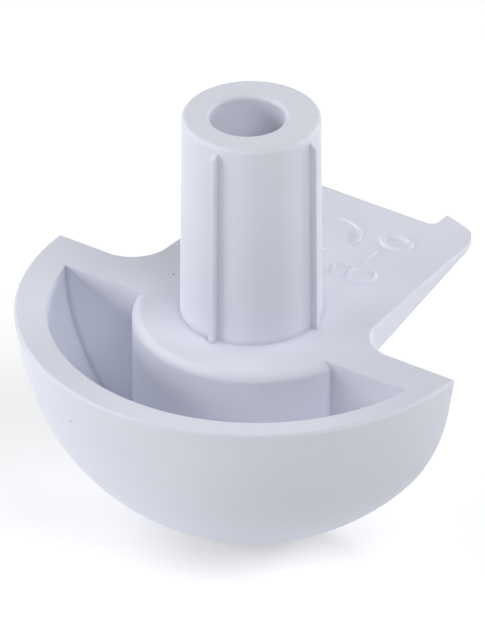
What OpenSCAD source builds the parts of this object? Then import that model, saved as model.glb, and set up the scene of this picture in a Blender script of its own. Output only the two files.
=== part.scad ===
// Fridge shelf holder, moulded in one piece from off-white plastic.
// The flat top of the body lies against the fridge's side wall, and the hollow
// spigot with its grip ribs is pressed into a hole in that wall.
// The shelf lies on the flat seat behind the quarter-round body, and the thin
// plate stands between the shelf's end and the wall.
// Frame: the origin is on the spigot's axis in the plane of the wall face.
// +Z runs along the spigot towards its tip, and +Y runs out along the plate.
// All sizes are in millimetres and all angles in degrees.

/* [Dome] */
// Radius of the quarter-round body
dome_r = 15.05; // [14:0.05:18]
// How far the body's rim stands out past that radius at the wall face
rim_flare = 0.2; // [0.1:0.05:0.5]
// How far the dome's centre lies to the right of the spigot's axis
dome_x = 0.05; // [-0.5:0.05:0.5]
// How far the dome's centre lies behind the spigot's axis
dome_y = 0.2; // [-0.3:0.05:0.3]
// How far the flat shelf seat lies behind the spigot's axis
seat_y = 0.3; // [0.1:0.05:0.8]
// Rounding of the outer edges round the wall face
edge_r = 0.2; // [0.1:0.05:0.5]

/* [Pocket] */
// Thickness of the rim between the pocket and the outside of the dome
rim_wall = 1.75; // [1.2:0.05:2.5]
// How far the pocket and the collar lie to the right of the spigot's axis
pocket_x = 0.4; // [-0.5:0.05:0.5]
// Thickness of the wall between the pocket and the shelf seat
seat_wall = 2.9; // [2:0.05:3.5]

/* [Collar] */
// Radius of the round collar that carries the spigot
collar_r = 7.9; // [6:0.1:8.4]
// Rounding of the collar's top edge inside the pocket
collar_edge_r = 0.65; // [0.2:0.05:1]

/* [Spigot] */
// Radius of the spigot at its tip
spigot_r = 4.4; // [3.8:0.1:5]
// Height of the spigot above the wall face
spigot_h = 14.2; // [14:0.1:18]
// Draft of the spigot's wall, in degrees
spigot_draft = 0.5; // [0:0.1:1]
// Rounding of the spigot's outer edge at the tip
spigot_edge_r = 0.3; // [0.1:0.05:0.6]

/* [Bore] */
// Radius of the blind bore in the spigot
bore_r = 2.4; // [1.5:0.1:3]
// Depth of the bore from the spigot's tip
bore_depth = 13.5; // [8:0.25:14]
// Rounding of the bore's mouth
bore_edge_r = 0.3; // [0.1:0.05:0.5]
// How far the bore lies to the right of the spigot's axis
bore_x = -0.2; // [-0.4:0.05:0.4]
// How far the bore lies behind the spigot's axis
bore_y = -0.15; // [-0.4:0.05:0.4]

/* [Grip ribs] */
// Number of ribs round the spigot
rib_count = 4; // [2:1:8]
// Width of each rib
rib_w = 0.42; // [0.2:0.02:0.8]
// How far each rib stands out of the spigot's wall
rib_h = 0.42; // [0.2:0.02:0.6]
// Length of the slope at the upper end of each rib
rib_lead = 0.9; // [0.6:0.1:2]
// Angle by which the ribs are turned from the row axes
rib_turn = 3.5; // [-15:0.5:15]

/* [Plate] */
// Width of the plate where it meets the seat
plate_root_w = 16.7; // [15.5:0.1:18]
// Width of the plate at its notch
plate_tip_w = 15.1; // [14:0.1:16.5]
// How far the plate's centre line lies to the right of the spigot's axis
plate_x = -0.45; // [-0.6:0.05:0.6]
// Thickness of the plate where it meets the seat
plate_root_t = 2.25; // [1.8:0.05:2.6]
// Thickness of the plate at its thin end
plate_tip_t = 0.42; // [0.4:0.02:1]
// Length of level underside before the notch
plate_level = 0.8; // [0.2:0.1:2]
// Radius of the inside corners between the seat and the plate's sides
root_fillet_r = 2.7; // [1:0.1:3.5]

/* [Notch and ears] */
// Distance from the spigot's axis to the notch's edge
notch_y = 14.8; // [12:0.1:15.5]
// Distance from the spigot's axis to the notch's left end
notch_left = 5.7; // [3:0.1:6]
// Distance from the spigot's axis to the notch's right end
notch_right = 4.05; // [3:0.05:6]
// Radius in the notch's left corner
notch_left_r = 1.15; // [0.3:0.05:1.3]
// Radius in the notch's right corner
notch_right_r = 0.6; // [0.3:0.05:1.3]
// Reach of the rounded ears, measured from the spigot's axis
ear_r = 16.95; // [16.3:0.05:18]
// Radius of the ears' outer corners
ear_corner_r = 3; // [0.5:0.1:4]

/* [Hidden] */
$fn = 96;
pocket_r = dome_r - rim_wall;
rim_r = dome_r + rim_flare;
// Lean of the wall that runs straight from the rim on to the round body
rim_lean = acos(dome_r / rim_r);
// Angle past the touching point at which that wall ends inside the round body
rim_run_out = 2;
pocket_y = seat_y - seat_wall;
// Radius of the spigot at its foot
spigot_foot_r = spigot_r + (spigot_h - spigot_edge_r) * tan(spigot_draft);
// Allowance by which a cutting shape runs past the surface that it cuts
over = 0.5;
// How far a rounding's circle stands proud of the faces that it joins, so that
// it cuts them cleanly and doesn't only touch them
proud = 0.003;
// Depth to which the ribs and the spigot are sunk into what carries them
sunk = (spigot_r - bore_r) / 3;
// Depth to which the plate is sunk into the wall that carries the seat
plate_lap = seat_wall / 3;
// Reach and span that clear the whole holder
clear = 2 * (dome_r + ear_r);
// Lean of the plate's side walls towards its centre line
side_lean = atan((plate_root_w - plate_tip_w) / 2 / (notch_y - seat_y));
// Directions across and along the plate's right side wall
across = [cos(side_lean), sin(side_lean)];
along = [-sin(side_lean), cos(side_lean)];
// Angle at which the root fillets run out on the seat's edge and the side walls
root_run_out = 8;
// Angle at which the ears' rounded corners meet their rounded ends
ear_run_out = 20;
// Centre of a root fillet, across and along from the foot of the side wall
root_centre = [
    root_fillet_r * cos(root_run_out),
    root_fillet_r * cos(root_run_out) * (1 - across[1]) / across[0]
];
// Distance from the spigot's axis to the centre of an ear's corner
ear_corner_far = sqrt(pow(ear_r, 2) + pow(ear_corner_r, 2)
    - 2 * ear_r * ear_corner_r * cos(ear_run_out));

// What a rounding of radius r takes off a corner that points to +X +Y, where
// the wall below the corner leans in by the given angle
module corner_waste(r, lean = 0) {
    span = r + over;
    centre = (proud - r) * [(1 + sin(lean)) / cos(lean), 1];
    difference() {
        polygon([
            centre,
            centre + [0, span],
            centre + [span, span],
            centre + span * [cos(lean), -sin(lean)]
        ]);
        translate(centre) circle(r);
    }
}

// Half section of the dome, with its flared rim and rounded top edge
module dome_section() {
    foot = rim_lean + rim_run_out;
    difference() {
        intersection() {
            union() {
                circle(dome_r);
                polygon([
                    [0, 0],
                    [rim_r, 0],
                    dome_r * [cos(foot), -sin(foot)]
                ]);
            }
            translate([0, -clear]) square(clear);
        }
        translate([rim_r, 0]) corner_waste(edge_r, rim_lean);
    }
}

// Quarter-round body, cut flat at the shelf seat
module dome() {
    difference() {
        translate([dome_x, dome_y, 0]) rotate_extrude() dome_section();
        translate([-clear / 2, seat_y, -clear / 2]) cube(clear);
        translate([-clear / 2, seat_y, 0]) rotate([90, 0, 90])
            linear_extrude(clear) corner_waste(edge_r);
    }
}

// Half section of the ring-shaped pocket that leaves the collar standing
module pocket_section() {
    intersection() {
        circle(pocket_r);
        translate([collar_r, -clear]) square(clear);
    }
    translate([collar_r, 0]) square([pocket_r - collar_r, over]);
    translate([collar_r, 0]) corner_waste(collar_edge_r);
}

// Pocket in front of the wall that carries the seat
module pocket() {
    difference() {
        translate([pocket_x, 0, 0]) rotate_extrude() pocket_section();
        translate([-clear / 2, pocket_y, -clear / 2]) cube(clear);
    }
}

// Places a shape at the foot of the right side wall of a plate whose centre
// line lies at x = mid, with the wall along +Y and the plate towards -X
module at_side_wall(mid) {
    translate([mid + plate_root_w / 2, seat_y]) rotate(side_lean) children();
}

// Centre of an ear's corner, across and along from the foot of the side wall
function ear_centre(mid) =
    let (foot = [mid + plate_root_w / 2, seat_y])
    let (out = foot * across - ear_corner_r)
    [-ear_corner_r, sqrt(pow(ear_corner_far, 2) - out * out) - foot * along];

// Direction of the ear's corner, seen from the spigot's axis
function ear_angle(mid) =
    let (foot = [mid + plate_root_w / 2, seat_y])
    let (ear = ear_centre(mid))
    let (centre = foot + ear[0] * across + ear[1] * along)
    atan2(centre[1], centre[0]);

// Outline of the plate's right half, without the notch
module half_outline(mid) {
    ear = ear_centre(mid);
    turn = ear_angle(mid) - side_lean;
    intersection() {
        circle(ear_r);
        at_side_wall(mid) difference() {
            translate([-0.6 * plate_root_w, -plate_lap])
                square([0.6 * plate_root_w, clear]);
            // Waste outside the ear's rounded corner
            difference() {
                polygon([
                    ear,
                    ear + 3 * [ear_corner_r, 0],
                    ear + 3 * [ear_corner_r, ear_corner_r],
                    ear + 3 * ear_corner_r * [cos(turn), sin(turn)]
                ]);
                translate(ear) circle(ear_corner_r);
            }
        }
    }
}

// Outline of the notch between the ears
module notch_outline() {
    left = notch_left_r - notch_left;
    right = notch_right - notch_right_r;
    translate([left, notch_y + notch_left_r]) circle(notch_left_r);
    translate([right, notch_y + notch_right_r]) circle(notch_right_r);
    polygon([
        [left, notch_y],
        [right, notch_y],
        [notch_right, notch_y + notch_right_r],
        [notch_right, clear],
        [-notch_left, clear],
        [-notch_left, notch_y + notch_left_r]
    ]);
}

// Blank of the plate, from its sunk root to its ears
module plate_blank() {
    translate([0, 0, -plate_root_t - over])
        linear_extrude(plate_root_t + 2 * over)
            difference() {
                union() {
                    half_outline(plate_x);
                    mirror([1, 0]) half_outline(-plate_x);
                }
                notch_outline();
            }
}

// Waste along the rounded top edge of the plate's right side wall
module side_edge_waste(mid) {
    at_side_wall(mid) translate([0, clear / 2, 0]) rotate([90, 0, 0])
        linear_extrude(clear) corner_waste(edge_r);
}

// Fillet between the seat and the plate's right side wall
module root_fillet(mid) {
    lap = [plate_lap, plate_lap];
    at_side_wall(mid) difference() {
        translate([0, 0, -plate_root_t - over])
            linear_extrude(plate_root_t + 2 * over)
                difference() {
                    translate(-lap) square(root_centre + lap);
                    translate(root_centre) circle(root_fillet_r);
                }
        translate(root_centre) rotate(180 - root_run_out)
            rotate_extrude(angle = 90 + 2 * root_run_out)
                translate([root_fillet_r, 0]) mirror([1, 0])
                    corner_waste(edge_r);
    }
}

// Section through the plate along Y, thinner towards its end
module plate_section() {
    polygon([
        [seat_y - plate_lap - over, 0],
        [clear, 0],
        [clear, -plate_tip_t],
        [notch_y - plate_level, -plate_tip_t],
        [seat_y, -plate_root_t],
        [seat_y - plate_lap - over, -plate_root_t]
    ]);
}

// Plate behind the spigot, with its fillets, notch, ears and rounded top edges
module plate() {
    intersection() {
        union() {
            difference() {
                plate_blank();
                side_edge_waste(plate_x);
                mirror([1, 0, 0]) side_edge_waste(-plate_x);
                rotate_extrude() translate([ear_r, 0]) corner_waste(edge_r);
            }
            root_fillet(plate_x);
            mirror([1, 0, 0]) root_fillet(-plate_x);
        }
        translate([-clear / 2, 0, 0]) rotate([90, 0, 90])
            linear_extrude(clear) plate_section();
    }
}

// Half section of the tapered spigot, with its rounded tip
module spigot_section() {
    tip_x = spigot_r - spigot_edge_r;
    tip_z = spigot_h - spigot_edge_r;
    polygon([
        [0, -sunk],
        [spigot_foot_r, -sunk],
        [spigot_foot_r, 0],
        [spigot_r, tip_z],
        [tip_x, tip_z],
        [tip_x, spigot_h],
        [0, spigot_h]
    ]);
    translate([tip_x, tip_z]) circle(spigot_edge_r);
}

// Side view of one rib, which follows the taper and slopes off at the tip
module rib_side() {
    lead_z = spigot_h - rib_lead;
    lead_r = spigot_foot_r - lead_z * tan(spigot_draft) + rib_h;
    slope_z = spigot_h - spigot_edge_r;
    polygon([
        [spigot_r - sunk, -sunk],
        [spigot_foot_r + rib_h, -sunk],
        [spigot_foot_r + rib_h, 0],
        [lead_r, lead_z],
        [spigot_r - spigot_edge_r, slope_z],
        [spigot_r - sunk, slope_z]
    ]);
}

// Spigot with its grip ribs
module spigot() {
    rotate_extrude() spigot_section();
    for (i = [0 : rib_count - 1])
        rotate(rib_turn + i * 360 / rib_count) rotate([90, 0, 0])
            linear_extrude(rib_w, center = true) rib_side();
}

// Blind bore with its rounded mouth
module bore() {
    translate([bore_x, bore_y, spigot_h]) rotate_extrude() {
        translate([0, -bore_depth]) square([bore_r, bore_depth + over]);
        translate([bore_r, 0]) mirror([1, 0]) corner_waste(bore_edge_r);
    }
}

module shelf_holder() {
    color([0.84, 0.85, 0.89])
        difference() {
            union() {
                difference() {
                    dome();
                    pocket();
                }
                plate();
                spigot();
            }
            bore();
        }
}

shelf_holder();
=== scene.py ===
"""Looks of the fridge shelf holder: satin moulded plastic, the plate's raised
mark, a pale floor, soft lamps and the photograph's camera.
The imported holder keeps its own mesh, and everything stands in its frame, in metres.
Values in millimetres say so and are multiplied by MM where they are used."""

import math

import bmesh
import bpy
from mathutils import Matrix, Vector


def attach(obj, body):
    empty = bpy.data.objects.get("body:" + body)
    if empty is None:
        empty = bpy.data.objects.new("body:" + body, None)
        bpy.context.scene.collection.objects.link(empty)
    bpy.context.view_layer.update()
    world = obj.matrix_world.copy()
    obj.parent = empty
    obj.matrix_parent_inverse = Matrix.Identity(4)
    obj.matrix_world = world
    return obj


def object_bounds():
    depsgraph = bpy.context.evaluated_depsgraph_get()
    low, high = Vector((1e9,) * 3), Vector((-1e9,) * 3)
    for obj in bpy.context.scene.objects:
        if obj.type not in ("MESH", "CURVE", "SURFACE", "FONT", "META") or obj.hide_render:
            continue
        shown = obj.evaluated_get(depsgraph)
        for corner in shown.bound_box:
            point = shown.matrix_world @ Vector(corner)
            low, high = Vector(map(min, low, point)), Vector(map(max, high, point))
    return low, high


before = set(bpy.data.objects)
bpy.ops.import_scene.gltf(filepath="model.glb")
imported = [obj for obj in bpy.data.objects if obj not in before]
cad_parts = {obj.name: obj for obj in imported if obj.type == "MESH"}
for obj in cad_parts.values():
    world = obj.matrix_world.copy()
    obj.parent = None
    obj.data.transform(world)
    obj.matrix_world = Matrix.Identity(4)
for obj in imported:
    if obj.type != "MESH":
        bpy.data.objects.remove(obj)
CAD_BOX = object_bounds()

MM = 0.001
HOLDER = "shelf_holder"

# The photograph's frame and the view that was worked out from it
PHOTO_W = 485
PHOTO_H = 628
FOCAL_PX = 9463.1
VIEW_AZIMUTH = 34.71
VIEW_ELEVATION = 32.15
VIEW_DISTANCE = 600 * MM
# Where the holder's origin lies in the photograph, from its upper left corner
ORIGIN_PX = (251.25, 307.24)
# The camera's sensor width, in the millimetres that its lens is given in
SENSOR_W = 36.0

# Colours are linear, as the shader reads them
PLASTIC_COLOUR = (0.80, 0.82, 0.91)
DIRT_AND_SHADE_COLOUR = (0.09, 0.10, 0.12)
FLOOR_COLOUR = (0.93, 0.93, 0.93)
WHITE = (1.0, 1.0, 1.0)


def direction(azimuth, elevation):
    """Unit vector from the origin towards a viewer at these angles, in degrees."""
    a = math.radians(azimuth)
    e = math.radians(elevation)
    return Vector((math.sin(a) * math.cos(e), -math.cos(a) * math.cos(e), math.sin(e)))


def make_camera():
    """Camera at the photograph's angle, placed so that the origin falls on its pixel."""
    back = direction(VIEW_AZIMUTH, VIEW_ELEVATION)
    turn = (-back).to_track_quat("-Z", "Y")
    right = turn @ Vector((1, 0, 0))
    up = turn @ Vector((0, 1, 0))
    px = VIEW_DISTANCE / FOCAL_PX
    off_right = (ORIGIN_PX[0] - PHOTO_W / 2) * px
    off_up = (PHOTO_H / 2 - ORIGIN_PX[1]) * px
    lens = bpy.data.cameras.new("photo_camera")
    lens.sensor_fit = "HORIZONTAL"
    lens.sensor_width = SENSOR_W
    lens.lens = FOCAL_PX * SENSOR_W / PHOTO_W
    camera = bpy.data.objects.new("photo_camera", lens)
    bpy.context.scene.collection.objects.link(camera)
    camera.location = back * VIEW_DISTANCE - right * off_right - up * off_up
    camera.rotation_mode = "QUATERNION"
    camera.rotation_quaternion = turn
    bpy.context.scene.camera = camera


# All lamps stand this far from the holder's origin, in metres
LAMP_DISTANCE = 0.35
# Soft boxes: name, degrees to the right of the camera, elevation, size in metres, watts
LAMPS = [
    ("left_lamp", -80, 12, 0.15, 0.56),
    ("front_left_lamp", -40, 50, 0.20, 0.06),
    ("back_left_lamp", -130, 35, 0.20, 0.31),
    ("back_right_lamp", 120, 12, 0.15, 0.52),
    ("right_lamp", 40, 50, 0.20, 0.52),
    ("front_lamp", 0, 50, 0.20, 0.12),
    ("top_lamp", 90, 75, 0.20, 0.04),
]


def soft_lamp(name, turn, elevation, size, power):
    """Square soft box that looks at the holder."""
    light = bpy.data.lights.new(name, "AREA")
    light.shape = "SQUARE"
    light.size = size
    light.energy = power
    lamp = bpy.data.objects.new(name, light)
    bpy.context.scene.collection.objects.link(lamp)
    towards = direction(VIEW_AZIMUTH + turn, elevation)
    lamp.location = towards * LAMP_DISTANCE
    lamp.rotation_mode = "QUATERNION"
    lamp.rotation_quaternion = (-towards).to_track_quat("-Z", "Y")
    lamp.visible_camera = False


def new_material(name):
    """Material with an empty node tree and its output node."""
    material = bpy.data.materials.new(name)
    material.use_nodes = True
    nodes = material.node_tree.nodes
    nodes.clear()
    return material, nodes, material.node_tree.links, nodes.new("ShaderNodeOutputMaterial")


def new_group(name, inputs, outputs):
    """Node group whose sockets are given as (name, socket type, default)."""
    group = bpy.data.node_groups.new(name, "ShaderNodeTree")
    for label, kind, value in inputs:
        socket = group.interface.new_socket(label, in_out="INPUT", socket_type=kind)
        socket.default_value = value
    for label, kind in outputs:
        group.interface.new_socket(label, in_out="OUTPUT", socket_type=kind)
    entry = group.nodes.new("NodeGroupInput")
    leave = group.nodes.new("NodeGroupOutput")
    return group, group.nodes, group.links, entry, leave


def math_node(nodes, links, operation, *values):
    """Math node fed with sockets or plain numbers."""
    node = nodes.new("ShaderNodeMath")
    node.operation = operation
    for i, value in enumerate(values):
        if isinstance(value, (int, float)):
            node.inputs[i].default_value = value
        else:
            links.new(value, node.inputs[i])
    return node.outputs[0]


def cloudy_colour_group():
    """Slow change of the moulded colour, as resin that cooled unevenly."""
    group, nodes, links, entry, leave = new_group(
        "cloudy_colour",
        [("Colour", "NodeSocketColor", (1, 1, 1, 1)),
         ("Per Metre", "NodeSocketFloat", 250.0),
         ("Amount", "NodeSocketFloat", 0.03)],
        [("Colour", "NodeSocketColor")])
    place = nodes.new("ShaderNodeTexCoord")
    noise = nodes.new("ShaderNodeTexNoise")
    links.new(place.outputs["Object"], noise.inputs["Vector"])
    links.new(entry.outputs["Per Metre"], noise.inputs["Scale"])
    swing = math_node(nodes, links, "SUBTRACT", noise.outputs["Fac"], 0.5)
    swing = math_node(nodes, links, "MULTIPLY", swing, entry.outputs["Amount"])
    value = math_node(nodes, links, "ADD", swing, 1.0)
    tint = nodes.new("ShaderNodeHueSaturation")
    links.new(entry.outputs["Colour"], tint.inputs["Color"])
    links.new(value, tint.inputs["Value"])
    links.new(tint.outputs["Color"], leave.inputs["Colour"])
    return group


def satin_grain_group():
    """Fine unevenness of a moulded face: long soft waves and a close grain."""
    group, nodes, links, entry, leave = new_group(
        "satin_grain",
        [("Wave Per Metre", "NodeSocketFloat", 300.0),
         ("Grain Per Metre", "NodeSocketFloat", 6000.0),
         ("Grain Share", "NodeSocketFloat", 0.2)],
        [("Height", "NodeSocketFloat")])
    place = nodes.new("ShaderNodeTexCoord")
    heights = []
    for rate in ("Wave Per Metre", "Grain Per Metre"):
        noise = nodes.new("ShaderNodeTexNoise")
        noise.inputs["Detail"].default_value = 1.0
        links.new(place.outputs["Object"], noise.inputs["Vector"])
        links.new(entry.outputs[rate], noise.inputs["Scale"])
        heights.append(noise.outputs["Fac"])
    grain = math_node(nodes, links, "MULTIPLY", heights[1], entry.outputs["Grain Share"])
    total = math_node(nodes, links, "ADD", heights[0], grain)
    links.new(total, leave.inputs["Height"])
    return group


# Shares of its radius between which a spot fades out, for the specks of dirt and the painted
# shade alike
SPOT_INNER = 0.75
SPOT_OUTER = 1.25


def dirt_and_shade_spot_group():
    """Round spot at a place on the surface, for a speck of dirt and for the patch of painted
    shade: 1 inside and 0 outside.
    """
    group, nodes, links, entry, leave = new_group(
        "dirt_and_shade_spot",
        [("Centre", "NodeSocketVector", (0, 0, 0)),
         ("Radius", "NodeSocketFloat", 0.0001)],
        [("Mask", "NodeSocketFloat")])
    place = nodes.new("ShaderNodeTexCoord")
    gap = nodes.new("ShaderNodeVectorMath")
    gap.operation = "DISTANCE"
    links.new(place.outputs["Object"], gap.inputs[0])
    links.new(entry.outputs["Centre"], gap.inputs[1])
    share = math_node(nodes, links, "DIVIDE", gap.outputs["Value"], entry.outputs["Radius"])
    fade = nodes.new("ShaderNodeMapRange")
    fade.interpolation_type = "SMOOTHSTEP"
    fade.inputs["From Min"].default_value = SPOT_OUTER
    fade.inputs["From Max"].default_value = SPOT_INNER
    links.new(share, fade.inputs["Value"])
    links.new(fade.outputs["Result"], leave.inputs["Mask"])
    return group


# Specks of dirt, and in the last three lines painted shade: the darker patch of shade inside
# the ring,
# that the photograph shows: place and radius in millimetres, strength
DIRT_AND_SHADE_SPOTS = [
    ((-6.29, 0.41, 0.0), 0.07, 0.85),
    ((-4.08, -14.03, -2.65), 0.07, 0.60),
    ((6.31, -12.73, 0.0), 0.08, 0.12),
    ((7.91, -11.90, 0.0), 0.08, 0.12),
    ((3.37, 2.28, 14.2), 0.12, 0.10),
    ((5.18, -12.90, -5.35), 0.07, 0.12),
    ((11.55, -4.89, -8.26), 0.07, 0.12),
    # Painted shade: the darker patch inside the ring, in three overlapping spots
    ((0.32, 11.09, 0.05), 0.45, 0.08),
    ((0.65, 10.65, 0.05), 0.45, 0.08),
    ((0.88, 10.11, 0.05), 0.45, 0.08),
]


def with_dirt_and_painted_shade(nodes, links, colour):
    """The colour with every speck of dirt, and the ring's patch of painted shade, laid over it.
    """
    spot_tree = dirt_and_shade_spot_group()
    for centre, radius, strength in DIRT_AND_SHADE_SPOTS:
        spot = nodes.new("ShaderNodeGroup")
        spot.node_tree = spot_tree
        spot.inputs["Centre"].default_value = [v * MM for v in centre]
        spot.inputs["Radius"].default_value = radius * MM
        share = math_node(nodes, links, "MULTIPLY", spot.outputs["Mask"], strength)
        stain_and_shade = nodes.new("ShaderNodeMix")
        stain_and_shade.data_type = "RGBA"
        links.new(share, stain_and_shade.inputs["Factor"])
        links.new(colour, stain_and_shade.inputs["A"])
        stain_and_shade.inputs["B"].default_value = (*DIRT_AND_SHADE_COLOUR, 1)
        colour = stain_and_shade.outputs["Result"]
    return colour


# Painted shade: narrow inner corners, as along the ribs and in the pocket, are painted a little
# darker:
# how far this reaches in millimetres, how strong it is, and its linear colour
CORNER_REACH = 0.45
CORNER_SHADE_SHARE = 0.55
CORNER_SHADE_COLOUR = (0.36, 0.37, 0.47)
CORNER_SAMPLES = 8


def with_painted_corner_shade(nodes, links, colour):
    """The colour, drawn towards the painted shade colour where the plastic closes in: painted
    shade in the corners.
    """
    corner = nodes.new("ShaderNodeAmbientOcclusion")
    corner.only_local = True
    corner.samples = CORNER_SAMPLES
    corner.inputs["Distance"].default_value = CORNER_REACH * MM
    depth = math_node(nodes, links, "SUBTRACT", 1.0, corner.outputs["AO"])
    depth = math_node(nodes, links, "MULTIPLY", depth, CORNER_SHADE_SHARE)
    shade = nodes.new("ShaderNodeMix")
    shade.data_type = "RGBA"
    links.new(depth, shade.inputs["Factor"])
    links.new(colour, shade.inputs["A"])
    shade.inputs["B"].default_value = (*CORNER_SHADE_COLOUR, 1)
    return shade.outputs["Result"]


# Sheen of the plastic: its index of refraction, the share of mirror light that is
# kept, and the roughness at the lowest and the highest place of the grain
PLASTIC_IOR = 1.5
SPECULAR_LEVEL = 0.35
SMOOTHEST = 0.50
ROUGHEST = 0.60
# Height of the grain in millimetres, and how much of it is used
GRAIN_HEIGHT = 0.01
GRAIN_STRENGTH = 0.5
# Radius over which the plastic's sharp edges look softened, in millimetres
EDGE_SOFTNESS = 0.15
EDGE_SAMPLES = 6


def softened_normal(nodes, links, height):
    """Normal of the plastic, with its edges softened and its grain raised."""
    bump = nodes.new("ShaderNodeBump")
    bump.inputs["Strength"].default_value = GRAIN_STRENGTH
    bump.inputs["Distance"].default_value = GRAIN_HEIGHT * MM
    links.new(height, bump.inputs["Height"])
    soft = nodes.new("ShaderNodeBevel")
    soft.samples = EDGE_SAMPLES
    soft.inputs["Radius"].default_value = EDGE_SOFTNESS * MM
    links.new(soft.outputs["Normal"], bump.inputs["Normal"])
    return bump.outputs["Normal"]


def satin_plastic():
    """Off-white moulded plastic with a soft sheen, a few specks of dirt, a patch of painted
    shade in the ring and painted shade in its inner corners.
    """
    material, nodes, links, output = new_material("satin_plastic")
    shader = nodes.new("ShaderNodeBsdfPrincipled")
    shader.inputs["IOR"].default_value = PLASTIC_IOR
    shader.inputs["Specular IOR Level"].default_value = SPECULAR_LEVEL
    cloudy = nodes.new("ShaderNodeGroup")
    cloudy.node_tree = cloudy_colour_group()
    cloudy.inputs["Colour"].default_value = (*PLASTIC_COLOUR, 1)
    # Specks of dirt, and a patch of painted shade inside the ring
    colour = with_dirt_and_painted_shade(nodes, links, cloudy.outputs["Colour"])
    # Painted shade in the narrow inner corners
    colour = with_painted_corner_shade(nodes, links, colour)
    links.new(colour, shader.inputs["Base Color"])
    grain = nodes.new("ShaderNodeGroup")
    grain.node_tree = satin_grain_group()
    rough = nodes.new("ShaderNodeMapRange")
    rough.inputs["To Min"].default_value = SMOOTHEST
    rough.inputs["To Max"].default_value = ROUGHEST
    links.new(grain.outputs["Height"], rough.inputs["Value"])
    links.new(rough.outputs["Result"], shader.inputs["Roughness"])
    normal = softened_normal(nodes, links, grain.outputs["Height"])
    links.new(normal, shader.inputs["Normal"])
    links.new(shader.outputs["BSDF"], output.inputs["Surface"])
    return material


# The plate's raised mark, in millimetres on the plate's flat face: a ring
RING_CENTRE = (-0.90, 10.24)
RING_R = 1.90
RING_W = 0.50
RING_H = 0.13
# Figures along the plate: two loops that touch, a stroke and an oval. A loop has its
# centre and its half lengths along X and Y, and the stroke runs along Y
SMALL_LOOP = ((2.10, 7.15), 0.62, 0.66)
LARGE_LOOP = ((3.62, 7.10), 0.86, 0.82)
OVAL_LOOP = ((3.25, 11.65), 0.98, 0.72)
STROKE_START = (2.82, 8.35)
STROKE_L = 2.0
STROKE_STEPS = 10
FIGURE_W = 0.58
FIGURE_H = 0.20
LOOP_STEPS = 48
# Beads reach this far into the plate, and have this many facets across
BEAD_SUNK = 0.03
BEAD_STEPS = 12
# Share of a bead's width and height that is left at an open end
BEAD_END = 0.2


def bead(mesh, path, closed, width, height):
    """Adds a raised bead with soft flanks, and soft ends if open, along a path."""
    points = [Vector(p) for p in path]
    count = len(points)
    rows = []
    for i, point in enumerate(points):
        before = points[i - 1] if closed or i > 0 else point
        after = points[(i + 1) % count] if closed or i < count - 1 else point
        side = (after - before).normalized().orthogonal()
        along = 0.5 if closed else i / (count - 1)
        swell = max(BEAD_END, math.sqrt(math.sin(math.pi * along)))
        row = []
        for k in range(BEAD_STEPS + 1):
            across = 1 - 2 * k / BEAD_STEPS
            flat = point + side * (width / 2 * swell * across)
            rise = (1 + math.cos(math.pi * across)) / 2
            z = (height + BEAD_SUNK) * swell * rise - BEAD_SUNK
            row.append(mesh.verts.new((flat.x * MM, flat.y * MM, z * MM)))
        rows.append(row)
    spans = count if closed else count - 1
    for i in range(spans):
        here = rows[i]
        there = rows[(i + 1) % count]
        for k in range(BEAD_STEPS):
            mesh.faces.new((here[k], here[k + 1], there[k + 1], there[k]))
        mesh.faces.new((here[-1], here[0], there[0], there[-1]))
    if not closed:
        mesh.faces.new(rows[0])
        mesh.faces.new(list(reversed(rows[-1])))


def ellipse(centre, half_x, half_y):
    """Points round an ellipse in the plate's face."""
    turns = [2 * math.pi * i / LOOP_STEPS for i in range(LOOP_STEPS)]
    return [(centre[0] + half_x * math.cos(t), centre[1] + half_y * math.sin(t)) for t in turns]


def raised_piece(name, mesh, material):
    """Turns the mesh into a smooth piece that rides on the holder."""
    bmesh.ops.recalc_face_normals(mesh, faces=mesh.faces)
    data = bpy.data.meshes.new(name)
    mesh.to_mesh(data)
    mesh.free()
    for face in data.polygons:
        face.use_smooth = True
    data.materials.append(material)
    piece = bpy.data.objects.new(name, data)
    bpy.context.scene.collection.objects.link(piece)
    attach(piece, "root")


def plate_ring(material):
    """Plain raised ring on the plate."""
    mesh = bmesh.new()
    bead(mesh, ellipse(RING_CENTRE, RING_R, RING_R), True, RING_W, RING_H)
    raised_piece("plate_ring", mesh, material)


def plate_numbers(material):
    """Plain raised figures that run along the plate."""
    x, y = STROKE_START
    stroke = [(x, y + STROKE_L * i / STROKE_STEPS) for i in range(STROKE_STEPS + 1)]
    mesh = bmesh.new()
    bead(mesh, ellipse(*SMALL_LOOP), True, FIGURE_W, FIGURE_H)
    bead(mesh, ellipse(*LARGE_LOOP), True, FIGURE_W, FIGURE_H)
    bead(mesh, stroke, False, FIGURE_W, FIGURE_H)
    bead(mesh, ellipse(*OVAL_LOOP), True, FIGURE_W, FIGURE_H)
    raised_piece("plate_numbers", mesh, material)


def seen_ray(nodes, links):
    """1 for rays that see the surroundings directly, in a sheen or through glass."""
    path = nodes.new("ShaderNodeLightPath")
    ray = math_node(nodes, links, "MAXIMUM",
                    path.outputs["Is Camera Ray"], path.outputs["Is Glossy Ray"])
    return math_node(nodes, links, "MAXIMUM", ray, path.outputs["Is Transmission Ray"])


# Brightness that the floor gains where it is seen, without lighting the holder: up to
# the near distance, and from the far distance on, where the lamps hardly reach
NEAR_LIFT = 0.32
FAR_LIFT = 1.0
NEAR_DISTANCE = 0.10
FAR_DISTANCE = 0.40


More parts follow.
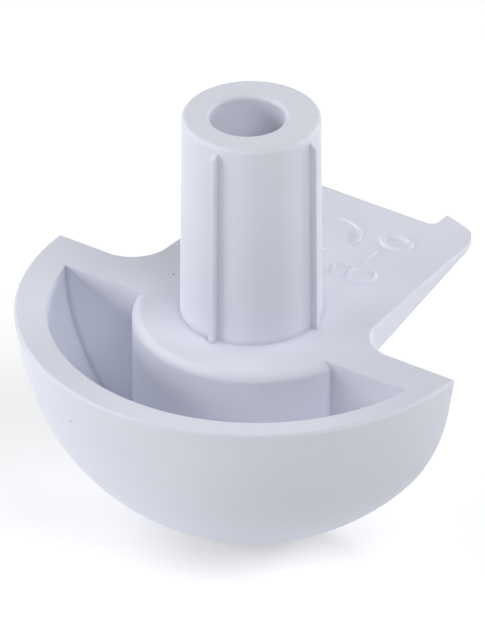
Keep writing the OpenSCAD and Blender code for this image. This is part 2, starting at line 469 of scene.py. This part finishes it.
def floor_lift(nodes, links):
    """Brightness that the floor gains, by the distance from its middle, in metres."""
    place = nodes.new("ShaderNodeTexCoord")
    reach = nodes.new("ShaderNodeVectorMath")
    reach.operation = "LENGTH"
    links.new(place.outputs["Object"], reach.inputs[0])
    lift = nodes.new("ShaderNodeMapRange")
    lift.interpolation_type = "SMOOTHSTEP"
    lift.inputs["From Min"].default_value = NEAR_DISTANCE
    lift.inputs["From Max"].default_value = FAR_DISTANCE
    lift.inputs["To Min"].default_value = NEAR_LIFT
    lift.inputs["To Max"].default_value = FAR_LIFT
    links.new(reach.outputs["Value"], lift.inputs["Value"])
    return lift.outputs["Result"]


def pale_floor():
    """Matt pale floor that is white where it is lit, and clear from below."""
    material, nodes, links, output = new_material("pale_floor")
    matt = nodes.new("ShaderNodeBsdfDiffuse")
    matt.inputs["Color"].default_value = (*FLOOR_COLOUR, 1)
    glow = nodes.new("ShaderNodeEmission")
    glow.inputs["Color"].default_value = (*WHITE, 1)
    lift = floor_lift(nodes, links)
    strength = math_node(nodes, links, "MULTIPLY", seen_ray(nodes, links), lift)
    links.new(strength, glow.inputs["Strength"])
    both = nodes.new("ShaderNodeAddShader")
    links.new(matt.outputs["BSDF"], both.inputs[0])
    links.new(glow.outputs["Emission"], both.inputs[1])
    clear = nodes.new("ShaderNodeBsdfTransparent")
    side = nodes.new("ShaderNodeNewGeometry")
    pick = nodes.new("ShaderNodeMixShader")
    links.new(side.outputs["Backfacing"], pick.inputs["Fac"])
    links.new(both.outputs["Shader"], pick.inputs[1])
    links.new(clear.outputs["BSDF"], pick.inputs[2])
    links.new(pick.outputs["Shader"], output.inputs["Surface"])
    return material


# Half the side of the square floor, in metres
FLOOR_HALF = 2.0


def make_floor():
    """Square floor at the foot of the body, under the holder's origin."""
    low = CAD_BOX[0].z
    far = FLOOR_HALF
    mesh = bmesh.new()
    corners = [(-far, -far), (far, -far), (far, far), (-far, far)]
    mesh.faces.new([mesh.verts.new((x, y, low)) for x, y in corners])
    data = bpy.data.meshes.new("pale_floor")
    mesh.to_mesh(data)
    mesh.free()
    data.materials.append(pale_floor())
    floor = bpy.data.objects.new("pale_floor", data)
    bpy.context.scene.collection.objects.link(floor)


# Strength of the even light from all round that the world sends to the holder
FILL_STRENGTH = 0.05


def make_world():
    """Even fill light, and plain white wherever the surroundings are seen."""
    world = bpy.data.worlds.new("studio")
    bpy.context.scene.world = world
    world.use_nodes = True
    nodes = world.node_tree.nodes
    links = world.node_tree.links
    nodes.clear()
    output = nodes.new("ShaderNodeOutputWorld")
    fill = nodes.new("ShaderNodeBackground")
    fill.inputs["Strength"].default_value = FILL_STRENGTH
    seen = nodes.new("ShaderNodeBackground")
    seen.inputs["Color"].default_value = (*WHITE, 1)
    pick = nodes.new("ShaderNodeMixShader")
    links.new(seen_ray(nodes, links), pick.inputs["Fac"])
    links.new(fill.outputs["Background"], pick.inputs[1])
    links.new(seen.outputs["Background"], pick.inputs[2])
    links.new(pick.outputs["Shader"], output.inputs["Surface"])


def dress_holder(material):
    """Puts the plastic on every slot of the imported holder."""
    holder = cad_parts[HOLDER]
    for slot in holder.material_slots:
        slot.material = material


make_camera()
plastic = satin_plastic()
dress_holder(plastic)
plate_ring(plastic)
plate_numbers(plastic)
make_floor()
make_world()
for lamp in LAMPS:
    soft_lamp(*lamp)
bpy.context.scene.view_settings.view_transform = "Standard"
